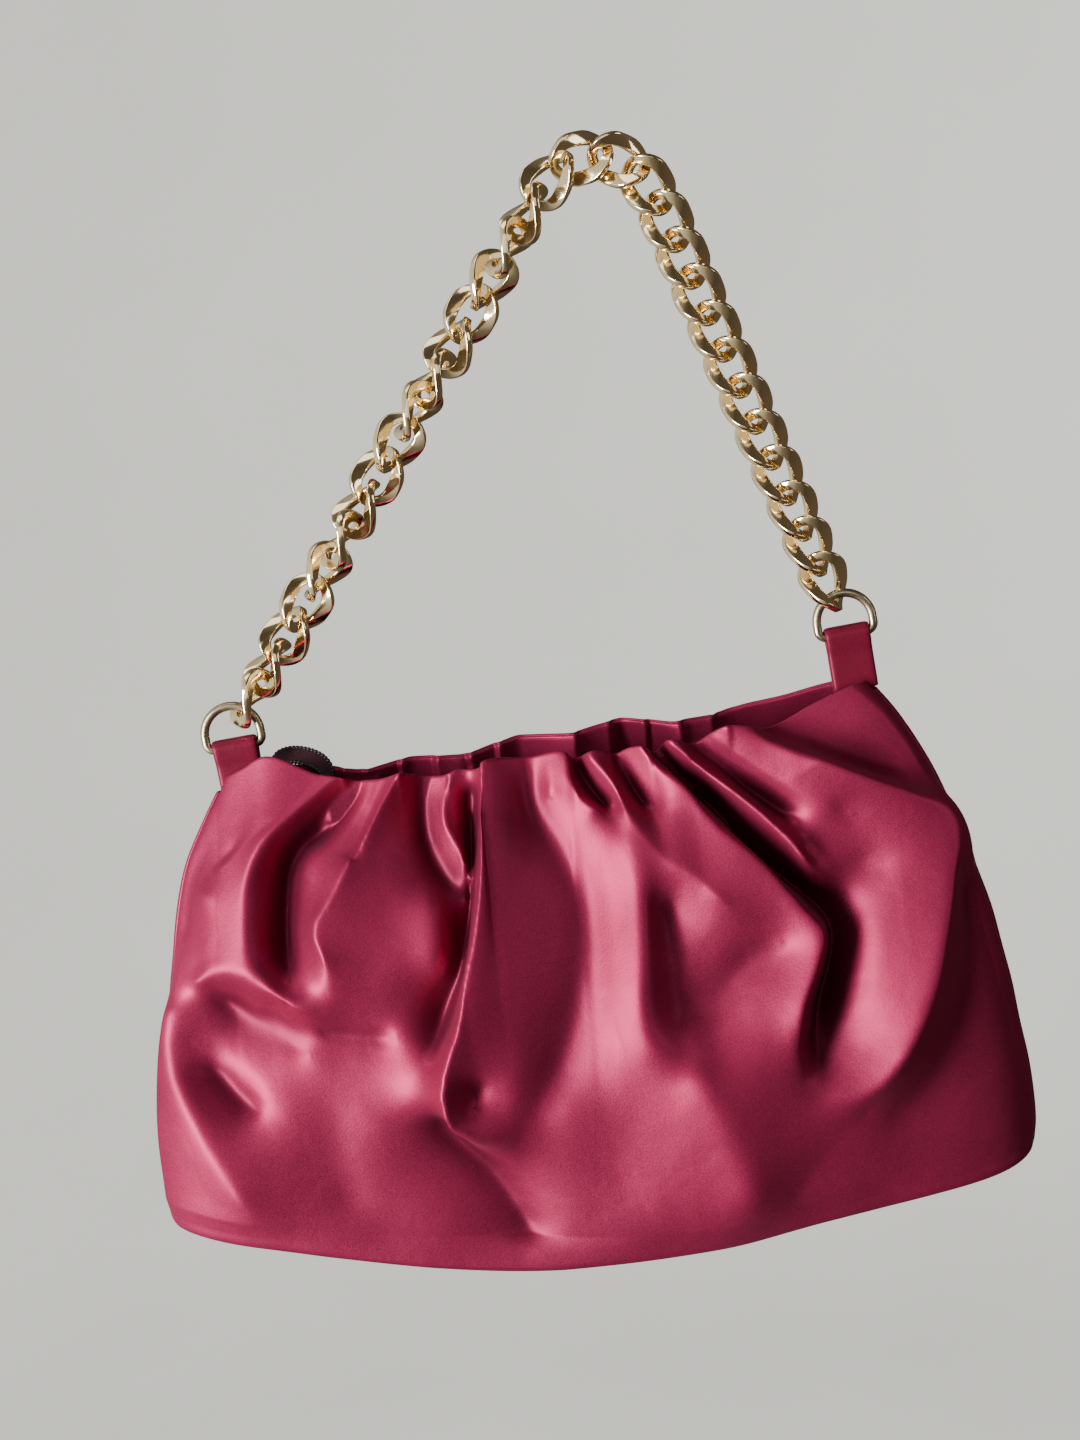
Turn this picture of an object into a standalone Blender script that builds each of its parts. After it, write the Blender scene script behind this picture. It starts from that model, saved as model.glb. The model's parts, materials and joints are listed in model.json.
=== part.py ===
"""Slouchy hobo bag hanging from a curb chain.

Frame: the origin is the point of the top link that rests on a wall hook.
+X runs along the mouth to the end with the short chain run, +Y runs from the
front of the bag to its back, +Z is up.  All lengths are in metres.
"""
import math

import bmesh
import bpy
from mathutils import Matrix, Vector

# ---------------------------------------------------------------- dimensions
SEAM_GAP = 0.0003           # clearance kept between neighbouring pieces

# Body: silhouette, depth and top edge, each against the height share v
# (0 at the bottom seam, 1 at the top edge) or the share u along the mouth.
BASE_Z = -0.3275            # bottom seam of the panels
LEFT_EDGE = [(0, -0.1550), (0.15, -0.1590), (0.44, -0.1545), (0.68, -0.1490),
             (0.85, -0.1412), (1, -0.1300)]
RIGHT_EDGE = [(0, 0.1160), (0.2, 0.1230), (0.44, 0.1180), (0.6, 0.1107),
              (0.78, 0.1003), (1, 0.0795)]
GUSSET_HALF = [(0, 0.0330), (0.3, 0.0340), (0.6, 0.0270), (0.85, 0.0140), (1, 0.0056)]
PANEL_BULGE = [(0, 0.0050), (0.3, 0.0070), (0.6, 0.0085), (0.85, 0.0085), (1, 0.0090)]
SEAM_INSET = [(0, 0.0075), (0.5, 0.0060), (1, 0.0025)]
FRONT_TOP = [(0, -0.1754), (0.08, -0.1715), (0.18, -0.1765), (0.32, -0.1775), (0.47, -0.1745),
             (0.72, -0.1735), (0.83, -0.1700), (0.92, -0.1640), (1, -0.1595)]
BACK_TOP = [(0, -0.1754), (0.18, -0.1770), (0.33, -0.1750), (0.56, -0.1700),
            (0.77, -0.1700), (0.88, -0.1645), (1, -0.1595)]

LEATHER = 0.0014            # outer panels
FACING = 0.0011             # leather strip inside the mouth
LINING = 0.0008             # lining cloth
INNER_FACE = 0.0020         # where the lining and the facings start
GUSSET_TOP = 0.97           # height shares
LINING_TOP = 0.845
FACING_LOW = 0.855
FACING_HIGH = 0.985
LINING_FLOOR_Z = -0.3250    # underside of the lining's floor
BASE_TOP_Z = -0.3279
BASE_UNDER_Z = -0.3293
BOARD_TOP_Z = -0.3256
BOARD_UNDER_Z = -0.3271

# Zip, straight along X inside the mouth
ZIP_Z = -0.1860
ZIP_LEFT = -0.0885
ZIP_RIGHT = 0.0520
COIL_INNER = 0.0025         # half the gap between the two rows of teeth
COIL_WIDTH = 0.0019
COIL_HEIGHT = 0.0020
TAPE_THICK = 0.0007
STOP_LENGTH = 0.0035
SLIDER_X = 0.0445           # rest position, open end of the zip
SLIDER_LENGTH = 0.0090
SLIDER_HALF = 0.0056
PLATE_LOW = 0.00135         # slider plate faces, measured from the zip's middle
PLATE_HIGH = 0.00235
PULLER_RISE = 0.00340       # puller axis above the zip's middle
PULLER_LENGTH = 0.0220
PULLER_HALF = 0.0035
PULLER_THICK = 0.0013

# D-rings and their tabs.  Both ring bars lie on one line, the swing axis.
BAR_LEFT = Vector((-0.1240, 0, -0.1672))
BAR_RIGHT = Vector((0.0724, 0, -0.1475))
RING_WIRE = 0.0014          # wire radius
RING_ARC = 0.0089           # centre-line radius of the round end
RING_RISE = 0.0043          # arc centre above the bar
RING_CORNER = 0.0025
TAB_HALF = 0.0071
TAB_NECK_HALF = 0.0039      # the part sewn in between the facings
TAB_BORE = 0.0018
TAB_OUTER = 0.0031
TAB_LEG = 0.0015            # half the thickness of the two layers
TAB_DEPTH = 0.0190
LEFT_SHOULDER = 0.0060
RIGHT_SHOULDER = 0.0095

# Curb chain
LINK_INNER = 0.0141         # free length inside a link
LINK_WIDTH = 0.0168
LINK_SIDE = (0.0047, 0.0030)    # width and thickness of the wire along the sides
LINK_END = (0.0034, 0.0029)     # and round the ends
LINK_TWIST = 47.0           # degrees, from the middle of a link to its end
LINK_CREST = 0.55           # share of the wire's width that is flat on top
ARC_STEPS = 6
TOP_PIVOTS = (Vector((-0.0055, 0, 0.0048)), Vector((0.0064, 0, 0.0068)))
LEFT_LINKS = 17
RIGHT_LINKS = 13
SHOULDER_PITCH = 0.0124     # links that bend over the hook
LEFT_SHOULDERS = (47.0, 57.0)       # slope in degrees of those links
RIGHT_SHOULDERS = (-26.0, -62.0)
LEFT_ROLL = (-24.0, -38.5)  # roll of the first left link, and of each one against the last
RIGHT_ROLL = 27.0           # roll of the last right link, reached little by little


# ------------------------------------------------------------------- helpers
def clear_scene():
    for thing in list(bpy.data.objects):
        bpy.data.objects.remove(thing, do_unlink=True)


def material(name, colour, roughness, metallic):
    finish = bpy.data.materials.new(name)
    finish.use_nodes = True
    shader = finish.node_tree.nodes["Principled BSDF"]
    shader.inputs["Base Color"].default_value = (*colour, 1)
    shader.inputs["Roughness"].default_value = roughness
    shader.inputs["Metallic"].default_value = metallic
    return finish


def smooth_value(points, t):
    """Value at t of a smooth curve through (t, value) pairs."""
    last = len(points) - 1
    i = 0
    while i < last - 1 and t > points[i + 1][0]:
        i += 1
    (t0, a), (t1, b) = points[i], points[i + 1]
    before = points[max(i - 1, 0)]
    after = points[min(i + 2, last)]
    slope_a = (b - before[1]) / (t1 - before[0])
    slope_b = (after[1] - a) / (after[0] - t0)
    s = (t - t0) / (t1 - t0)
    span = t1 - t0
    return ((2 * s**3 - 3 * s**2 + 1) * a + (s**3 - 2 * s**2 + s) * span * slope_a
            + (3 * s**2 - 2 * s**3) * b + (s**3 - s**2) * span * slope_b)


def add_object(name, verts, faces, finish, place=None, smooth=False):
    """Mesh object with its own origin; place is its matrix in the world."""
    mesh = bpy.data.meshes.new(name)
    mesh.from_pydata([tuple(v) for v in verts], [], faces)
    shape = bmesh.new()
    shape.from_mesh(mesh)
    bmesh.ops.recalc_face_normals(shape, faces=shape.faces)
    shape.to_mesh(mesh)
    shape.free()
    mesh.materials.append(finish)
    if smooth:
        mesh.shade_smooth()
    thing = bpy.data.objects.new(name, mesh)
    bpy.context.collection.objects.link(thing)
    if place is not None:
        thing.matrix_world = place
    return thing


def closed_tube(sections):
    """Faces of a tube whose sections run round and meet again."""
    count, around = len(sections), len(sections[0])
    verts = [point for section in sections for point in section]
    faces = []
    for i in range(count):
        j = (i + 1) % count
        for k in range(around):
            m = (k + 1) % around
            faces.append((i * around + k, j * around + k, j * around + m, i * around + m))
    return verts, faces


def shell(outer, inner):
    """Closed solid between two grids of points with the same rows and columns."""
    rows, cols = len(outer), len(outer[0])
    verts = [p for row in outer for p in row] + [p for row in inner for p in row]
    size = rows * cols
    faces = []
    for i in range(rows - 1):
        for j in range(cols - 1):
            a, b = i * cols + j, i * cols + j + 1
            c, d = a + cols, b + cols
            faces.append((a, b, d, c))
            faces.append((size + a, size + c, size + d, size + b))
    rim = [j for j in range(cols)]
    rim += [i * cols + cols - 1 for i in range(1, rows)]
    rim += [(rows - 1) * cols + j for j in range(cols - 2, -1, -1)]
    rim += [i * cols for i in range(rows - 2, 0, -1)]
    for a, b in zip(rim, rim[1:] + rim[:1]):
        faces.append((a, size + a, size + b, b))
    return verts, faces


def prism(outline, low, high):
    """Upright solid on a closed outline of (x, y) points."""
    count = len(outline)
    verts = [(x, y, low) for x, y in outline] + [(x, y, high) for x, y in outline]
    faces = [tuple(range(count - 1, -1, -1)), tuple(range(count, 2 * count))]
    for i in range(count):
        j = (i + 1) % count
        faces.append((i, j, count + j, count + i))
    return verts, faces


def block(low, high):
    return prism([(low[0], low[1]), (high[0], low[1]), (high[0], high[1]), (low[0], high[1])],
                 low[2], high[2])


def helper(name, verts, faces, place):
    """Tool for a Boolean, left out of the model."""
    tool = add_object(name, verts, faces, bpy.data.materials["tool"], place)
    tool.hide_render = True
    tool.display_type = 'WIRE'
    return tool


def combine(target, tool, operation):
    change = target.modifiers.new(tool.name, 'BOOLEAN')
    change.operation = operation
    change.object = tool


# ---------------------------------------------------------------------- body
def body_point(side, u, v, inset):
    """Point of the bag's wall; side -1 is the front, 1 the back.

    u runs along the mouth from left to right, v from the bottom seam up, and
    inset moves the point inwards, so equal insets make one nested layer.
    """
    left = smooth_value(LEFT_EDGE, v) + smooth_value(SEAM_INSET, v) + inset
    right = smooth_value(RIGHT_EDGE, v) - smooth_value(SEAM_INSET, v) - inset
    crown = 1 - abs(2 * u - 1)**3
    depth = smooth_value(GUSSET_HALF, v) + smooth_value(PANEL_BULGE, v) * crown - inset
    top = smooth_value(FRONT_TOP if side < 0 else BACK_TOP, u)
    return Vector((left + (right - left) * u, side * depth, BASE_Z + (top - BASE_Z) * v))


def gusset_point(end, w, v, inset, trim=0.0):
    """Point of an end wall; end 0 is left, 1 right; w runs from -1 front to 1 back."""
    half = smooth_value(GUSSET_HALF, v) - inset
    dip = smooth_value(SEAM_INSET, v)
    edge = smooth_value(RIGHT_EDGE if end else LEFT_EDGE, v)
    inward = -1 if end else 1
    top = smooth_value(FRONT_TOP, end)
    return Vector((edge + inward * (inset + dip * w * w), w * (half - trim),
                   BASE_Z + (top - BASE_Z) * v))


def shares(start, stop, count):
    return [start + (stop - start) * i / count for i in range(count + 1)]


def wall_panel(name, side, low, high, outer, inner, rows, cols, finish):
    grids = [[[body_point(side, u, v, inset) for u in shares(0, 1, cols)]
              for v in shares(low, high, rows)] for inset in (outer, inner)]
    add_object(name, *shell(*grids), finish, smooth=True)


def end_panel(name, end, finish):
    """Gusset tucked between the seam edges of the front and back panels."""
    trim = LEATHER + SEAM_GAP * 1.5
    grids = [[[gusset_point(end, w, v, inset, trim - inset) for w in shares(-1, 1, 6)]
              for v in shares(0, GUSSET_TOP, 9)] for inset in (0, LEATHER)]
    add_object(name, *shell(*grids), finish, smooth=True)


def wall_ring(v, inset, across=14, around=6):
    """Closed ring of points round the whole bag at one height share."""
    ring = [body_point(-1, u, v, inset) for u in shares(0, 1, across)]
    ring += [gusset_point(1, w, v, inset) for w in shares(-1, 1, around)[1:-1]]
    ring += [body_point(1, u, v, inset) for u in shares(1, 0, across)]
    ring += [gusset_point(0, w, v, inset) for w in shares(1, -1, around)[1:-1]]
    return ring


def base_outline(inset):
    return [(p.x, p.y) for p in wall_ring(0, inset, 10)]


def lining(finish):
    """Open-topped cloth sack inside the outer walls."""
    floor = (LINING_FLOOR_Z - BASE_Z) / (FRONT_TOP[4][1] - BASE_Z)
    levels = shares(floor, LINING_TOP, 9)
    verts, faces = [], []
    starts = []
    for inset, rise in ((INNER_FACE, 0), (INNER_FACE + LINING, LINING)):
        base = len(verts)
        starts.append(base)
        for i, v in enumerate(levels):
            for p in wall_ring(v, inset):
                height = LINING_FLOOR_Z + rise if i == 0 else p.z
                verts.append((p.x, p.y, height))
        around = (len(verts) - base) // len(levels)
        for i in range(len(levels) - 1):
            for k in range(around):
                m = (k + 1) % around
                quad = (base + i * around + k, base + i * around + m,
                        base + (i + 1) * around + m, base + (i + 1) * around + k)
                faces.append(quad)
        faces.append(tuple(base + k for k in range(around)))
    rim = (len(levels) - 1) * around
    for k in range(around):
        m = (k + 1) % around
        faces.append((starts[0] + rim + k, starts[0] + rim + m,
                      starts[1] + rim + m, starts[1] + rim + k))
    add_object("lining", verts, faces, finish, smooth=True)


def make_body():
    leather = material("burgundy_leather", (0.30, 0.02, 0.07), 0.42, 0.0)
    trim = material("dark_burgundy_leather", (0.16, 0.012, 0.04), 0.45, 0.0)
    cloth = material("lining_cloth", (0.05, 0.01, 0.02), 0.85, 0.0)
    board = material("base_board_plastic", (0.20, 0.17, 0.14), 0.8, 0.0)
    for name, side in (("front_panel", -1), ("back_panel", 1)):
        wall_panel(name, side, 0, 1, 0, LEATHER, 10, 20, leather)
    for name, side in (("front_facing", -1), ("back_facing", 1)):
        wall_panel(name, side, FACING_LOW, FACING_HIGH, INNER_FACE, INNER_FACE + FACING,
                   3, 18, trim)
    for name, end in (("left_gusset", 0), ("right_gusset", 1)):
        end_panel(name, end, leather)
    add_object("base_panel", *prism(base_outline(0), BASE_UNDER_Z, BASE_TOP_Z), leather)
    add_object("base_board", *prism(base_outline(INNER_FACE), BOARD_UNDER_Z, BOARD_TOP_Z), board)
    lining(cloth)


# ----------------------------------------------------------------------- zip
def facing_depth(side, x):
    """Distance from the bag's middle to the facing's inner face at the zip."""
    u = 0.5
    for _ in range(12):
        v = (ZIP_Z - BASE_Z) / (smooth_value(FRONT_TOP if side < 0 else BACK_TOP, u) - BASE_Z)
        left = body_point(side, 0, v, INNER_FACE + FACING).x
        right = body_point(side, 1, v, INNER_FACE + FACING).x
        u = (x - left) / (right - left)
    return abs(body_point(side, u, v, INNER_FACE + FACING).y)


def zip_tape(name, side, finish):
    """Flat tape from the facing in to the row of teeth."""
    teeth = COIL_INNER + COIL_WIDTH + SEAM_GAP
    stations = shares(ZIP_LEFT, ZIP_RIGHT, 18)
    outline = [(x, side * (facing_depth(side, x) - 3 * SEAM_GAP)) for x in stations]
    outline += [(x, side * teeth) for x in (ZIP_RIGHT, ZIP_LEFT)]
    add_object(name, *prism(outline, ZIP_Z - TAPE_THICK / 2, ZIP_Z + TAPE_THICK / 2), finish)


def zip_row(name, side, finish):
    near, far = COIL_INNER, COIL_INNER + COIL_WIDTH
    low_y, high_y = sorted((side * near, side * far))
    add_object(name, *block((ZIP_LEFT, low_y, ZIP_Z - COIL_HEIGHT / 2),
                            (ZIP_RIGHT, high_y, ZIP_Z + COIL_HEIGHT / 2)), finish)


def zip_stops(finish):
    reach = COIL_INNER + COIL_WIDTH
    rise = COIL_HEIGHT / 2 + 0.0003
    low_x = ZIP_RIGHT + SEAM_GAP
    add_object("zip_bottom_stop", *block((low_x, -reach, ZIP_Z - rise),
                                         (low_x + STOP_LENGTH, reach, ZIP_Z + rise)), finish)
    high_x = ZIP_LEFT - SEAM_GAP
    for name, side in (("zip_top_stop_front", -1), ("zip_top_stop_back", 1)):
        low_y, high_y = sorted((side * COIL_INNER, side * reach))
        add_object(name, *block((high_x - STOP_LENGTH, low_y, ZIP_Z - rise),
                                (high_x, high_y, ZIP_Z + rise)), finish)


def slider_plate(length, half):
    """Shield outline, narrow at the tail where the closed teeth leave."""
    tail = half * 0.72
    back, front = length / 2, -length / 2
    return [(front, -half * 0.55), (front + 0.0022, -half), (back - 0.0035, -half),
            (back, -tail), (back, tail), (back - 0.0035, half),
            (front + 0.0022, half), (front, half * 0.55)]


def zip_slider(finish):
    place = Matrix.Translation((SLIDER_X, 0, ZIP_Z))
    plate = slider_plate(SLIDER_LENGTH, SLIDER_HALF)
    slider = add_object("zip_slider", *prism(plate, PLATE_LOW, PLATE_HIGH), finish, place)
    under = helper("slider_under_plate", *prism(plate, -PLATE_HIGH, -PLATE_LOW), place)
    post_half = COIL_INNER - 0.0004
    post = helper("slider_post", *block((-0.0030, -post_half, -PLATE_LOW - 0.0002),
                                        (0.0015, post_half, PLATE_LOW + 0.0002)), place)
    bridge_low, bridge_high = PLATE_HIGH - 0.0002, PLATE_HIGH + 0.0031
    bridge = helper("slider_bridge", *block((-0.0033, -0.0010, bridge_low),
                                            (0.0033, 0.0010, bridge_high)), place)
    window = helper("slider_window", *block((-0.0024, -0.0020, PLATE_HIGH + 0.0001),
                                            (0.0024, 0.0020, bridge_high - 0.0009)), place)
    combine(bridge, window, 'DIFFERENCE')
    combine(slider, post, 'UNION')
    combine(slider, under, 'UNION')
    combine(slider, bridge, 'UNION')


def zip_puller(finish):
    """Flat tag on the slider's bridge; its origin is on its hinge axis."""
    place = Matrix.Translation((SLIDER_X, 0, ZIP_Z + PULLER_RISE))
    half, thick, bar = PULLER_HALF, PULLER_THICK / 2, 0.0006
    tip = PULLER_LENGTH - bar
    outline = [(-bar, -0.0024), (0.0050, -0.0024), (0.0080, -half), (tip - 0.0015, -half),
               (tip, -half + 0.0015), (tip, half - 0.0015), (tip - 0.0015, half),
               (0.0080, half), (0.0050, 0.0024), (-bar, 0.0024)]
    puller = add_object("zip_puller", *prism(outline, -thick, thick), finish, place)
    eye = helper("puller_eye", *block((bar, -0.0013, -0.002), (0.0047, 0.0013, 0.002)), place)
    combine(puller, eye, 'DIFFERENCE')


def make_zip():
    tape = material("zip_tape_cloth", (0.03, 0.008, 0.015), 0.85, 0.0)
    coil = material("zip_teeth_nylon", (0.02, 0.015, 0.018), 0.45, 0.0)
    metal = material("zip_metal", (0.52, 0.42, 0.24), 0.3, 1.0)
    for word, side in (("front", -1), ("back", 1)):
        zip_tape("zip_tape_" + word, side, tape)
        zip_row("zip_coil_" + word, side, coil)
    zip_stops(metal)
    zip_slider(metal)
    zip_puller(metal)


# ------------------------------------------------------------ rings and tabs
def bar_frame(centre):
    """Matrix at a ring bar: local X along the swing axis, local Z away from the bag."""
    along = (BAR_RIGHT - BAR_LEFT).normalized()
    across = Vector((0, 1, 0))
    up = along.cross(across)
    turn = Matrix((along, across, up)).transposed().to_4x4()
    return Matrix.Translation(centre) @ turn


def ring_path():
    """(centre, outward direction) of the D-ring's wire in its own XZ plane."""
    path = []
    for i in range(4):
        a = -math.pi / 2 + math.pi / 2 * i / 3
        out = Vector((math.cos(a), 0, math.sin(a)))
        path.append((Vector((RING_ARC - RING_CORNER, 0, RING_CORNER)) + out * RING_CORNER, out))
    for i in range(1, 10):
        a = math.pi * i / 10
        out = Vector((math.cos(a), 0, math.sin(a)))
        path.append((Vector((0, 0, RING_RISE)) + out * RING_ARC, out))
    for centre, out in reversed(path[:4]):
        path.append((Vector((-centre.x, 0, centre.z)), Vector((-out.x, 0, out.z))))
    return path


def d_ring(name, bar, finish):
    sections = []
    for centre, out in ring_path():
        section = []
        for k in range(6):
            a = math.tau * (k + 0.5) / 6
            section.append(centre + RING_WIRE * (out * math.cos(a)
                                                 + Vector((0, math.sin(a), 0))))
        sections.append(section)
    add_object(name, *closed_tube(sections), finish, bar_frame(bar), smooth=True)


def tab(name, bar, shoulder, finish):
    """Leather strip folded over the ring's bar, its neck sewn into the mouth."""
    outer, inner, widths = [], [], []
    for i in range(9):
        a = math.pi * i / 8
        outer.append((TAB_OUTER * math.cos(a), TAB_OUTER * math.sin(a)))
        inner.append((TAB_BORE * math.cos(a), TAB_BORE * math.sin(a)))
        widths.append(TAB_HALF)
    legs = [(TAB_LEG * 1.25, 0.0045, TAB_HALF), (TAB_LEG, shoulder, TAB_HALF),
            (TAB_LEG, shoulder + 0.0012, TAB_NECK_HALF), (TAB_LEG, TAB_DEPTH, TAB_NECK_HALF)]
    lower = [(-y, -z, w) for y, z, w in legs] + [(y, -z, w) for y, z, w in reversed(legs)]
    for i, (y, z, width) in enumerate(lower):
        a = math.pi + math.pi * (i + 1) / (len(lower) + 1)
        outer.append((y, z))
        inner.append((TAB_BORE * math.cos(a), TAB_BORE * math.sin(a)))
        widths.append(width)
    verts = []
    for sign in (-1, 1):
        verts += [(sign * w, y, z) for (y, z), w in zip(outer, widths)]
        verts += [(sign * TAB_HALF, y, z) for y, z in inner]
    count = len(outer)
    faces = []
    for k in range(count):
        m = (k + 1) % count
        near, far = 0, 2 * count
        faces.append((near + k, near + m, far + m, far + k))
        faces.append((near + count + k, near + count + m, far + count + m, far + count + k))
        for start in (near, far):
            faces.append((start + k, start + m, start + count + m, start + count + k))
    add_object(name, verts, faces, finish, bar_frame(bar))


# --------------------------------------------------------------------- chain
def link_mesh():
    """One curb link: a stadium of flattened wire, twisted about its long axis Z."""
    half_length = (LINK_INNER + LINK_END[0]) / 2
    half_width = (LINK_WIDTH - LINK_SIDE[0]) / 2
    straight = half_length - half_width
    path = []
    for start, lift in ((0, straight), (math.pi, -straight)):
        for i in range(ARC_STEPS + 1):
            a = start + math.pi * i / ARC_STEPS
            out = Vector((math.cos(a), 0, math.sin(a)))
            path.append((Vector((0, 0, lift)) + out * half_width, out))
        side = Vector((math.cos(start + math.pi), 0, 0))
        path.append((side * half_width, side))
    sections = []
    for centre, out in path:
        share = abs(out.z)
        wide = LINK_SIDE[0] + (LINK_END[0] - LINK_SIDE[0]) * share
        thick = LINK_SIDE[1] + (LINK_END[1] - LINK_SIDE[1]) * share
        section = []
        for across, up in ((1, 0), (LINK_CREST, 1), (-LINK_CREST, 1),
                           (-1, 0), (-LINK_CREST, -1), (LINK_CREST, -1)):
            p = centre + out * (across * wide / 2) + Vector((0, up * thick / 2, 0))
            twist = -math.radians(LINK_TWIST) * p.z / half_length
            section.append(Matrix.Rotation(twist, 3, 'Z') @ p)
        sections.append(section)
    return closed_tube(sections)


def ring_contact(bar, towards):
    """Point inside the D-ring's round end where the pull of the chain meets it."""
    centre = bar_frame(bar) @ Vector((0, 0, RING_RISE))
    return centre + (towards - centre).normalized() * (RING_ARC - RING_WIRE)


def run_pivots(start, slopes, direction, bar, count):
    """Contact points of one run, from the top link down to the D-ring."""
    points = [start.copy()]
    for slope in slopes:
        a = math.radians(slope)
        step = Vector((direction * math.cos(a), 0, direction * math.sin(a)))
        points.append(points[-1] + SHOULDER_PITCH * step)
    rest = count - len(slopes)
    end = ring_contact(bar, points[-1])
    first = points[-1]
    points += [first.lerp(end, (i + 1) / rest) for i in range(rest)]
    return points


def chain_runs():
    left = run_pivots(TOP_PIVOTS[0], LEFT_SHOULDERS, -1, BAR_LEFT, LEFT_LINKS)
    right = run_pivots(TOP_PIVOTS[1], RIGHT_SHOULDERS, 1, BAR_RIGHT, RIGHT_LINKS)
    return left, right


def left_roll(number):
    return LEFT_ROLL[0] + LEFT_ROLL[1] * (number - 1)


def right_roll(number):
    return RIGHT_ROLL * (number / RIGHT_LINKS)**2


def link_place(upper, lower, roll):
    """Matrix of a link held between two contact points in the chain's plane."""
    up = (upper - lower).normalized()
    across = Vector((0, 1, 0))
    turn = Matrix((across.cross(up), across, up)).transposed().to_4x4()
    middle = Matrix.Translation((upper + lower) / 2)
    return middle @ turn @ Matrix.Rotation(math.radians(roll), 4, 'Z')


def make_chain():
    gold = material("champagne_gold", (0.83, 0.62, 0.36), 0.16, 1.0)
    brass = material("aged_brass", (0.48, 0.41, 0.27), 0.32, 1.0)
    leather = bpy.data.materials["dark_burgundy_leather"]
    verts, faces = link_mesh()
    left, right = chain_runs()
    add_object("link_top", verts, faces, gold, link_place(*TOP_PIVOTS, 0), smooth=True)
    for i in range(LEFT_LINKS):
        place = link_place(left[i], left[i + 1], left_roll(i + 1))
        add_object(f"link_left_{i + 1:02d}", verts, faces, gold, place, smooth=True)
    for i in range(RIGHT_LINKS):
        place = link_place(right[i], right[i + 1], right_roll(i + 1))
        add_object(f"link_right_{i + 1:02d}", verts, faces, gold, place, smooth=True)
    for word, bar, shoulder in (("left", BAR_LEFT, LEFT_SHOULDER),
                                ("right", BAR_RIGHT, RIGHT_SHOULDER)):
        d_ring("d_ring_" + word, bar, brass)
        tab("tab_" + word, bar, shoulder, leather)


def main():
    clear_scene()
    material("tool", (1, 1, 1), 0.5, 0.0)
    make_body()
    make_zip()
    make_chain()


main()
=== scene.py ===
"""Looks of a slouchy burgundy hobo bag hanging from a curb chain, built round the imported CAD.

Shapes are written in millimetres in the part's frame and scaled by MM.
"""
import json
import math

import bmesh
import bpy
import numpy as np
from mathutils import Matrix, Vector
from mathutils.kdtree import KDTree

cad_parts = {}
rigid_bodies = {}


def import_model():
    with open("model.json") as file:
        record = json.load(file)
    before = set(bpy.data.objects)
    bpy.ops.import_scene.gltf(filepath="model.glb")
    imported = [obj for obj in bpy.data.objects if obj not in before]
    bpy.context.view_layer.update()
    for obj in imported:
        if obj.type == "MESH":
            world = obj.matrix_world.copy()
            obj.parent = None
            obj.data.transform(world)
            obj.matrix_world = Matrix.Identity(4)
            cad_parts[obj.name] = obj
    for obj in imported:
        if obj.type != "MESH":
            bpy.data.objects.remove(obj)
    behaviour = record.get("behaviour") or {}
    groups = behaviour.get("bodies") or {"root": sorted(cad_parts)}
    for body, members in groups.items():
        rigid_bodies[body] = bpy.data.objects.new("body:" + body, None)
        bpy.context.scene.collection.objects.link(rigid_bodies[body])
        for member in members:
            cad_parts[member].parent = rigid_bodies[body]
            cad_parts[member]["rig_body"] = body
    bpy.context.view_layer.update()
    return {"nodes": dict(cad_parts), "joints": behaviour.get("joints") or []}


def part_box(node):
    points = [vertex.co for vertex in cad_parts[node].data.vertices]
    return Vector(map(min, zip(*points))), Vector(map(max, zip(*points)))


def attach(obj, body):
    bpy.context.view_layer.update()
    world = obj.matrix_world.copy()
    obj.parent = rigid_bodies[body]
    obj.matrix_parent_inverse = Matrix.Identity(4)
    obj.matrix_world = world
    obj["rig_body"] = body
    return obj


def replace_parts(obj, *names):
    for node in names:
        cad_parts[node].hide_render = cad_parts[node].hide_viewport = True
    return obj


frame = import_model()
MM = 0.001


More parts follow.
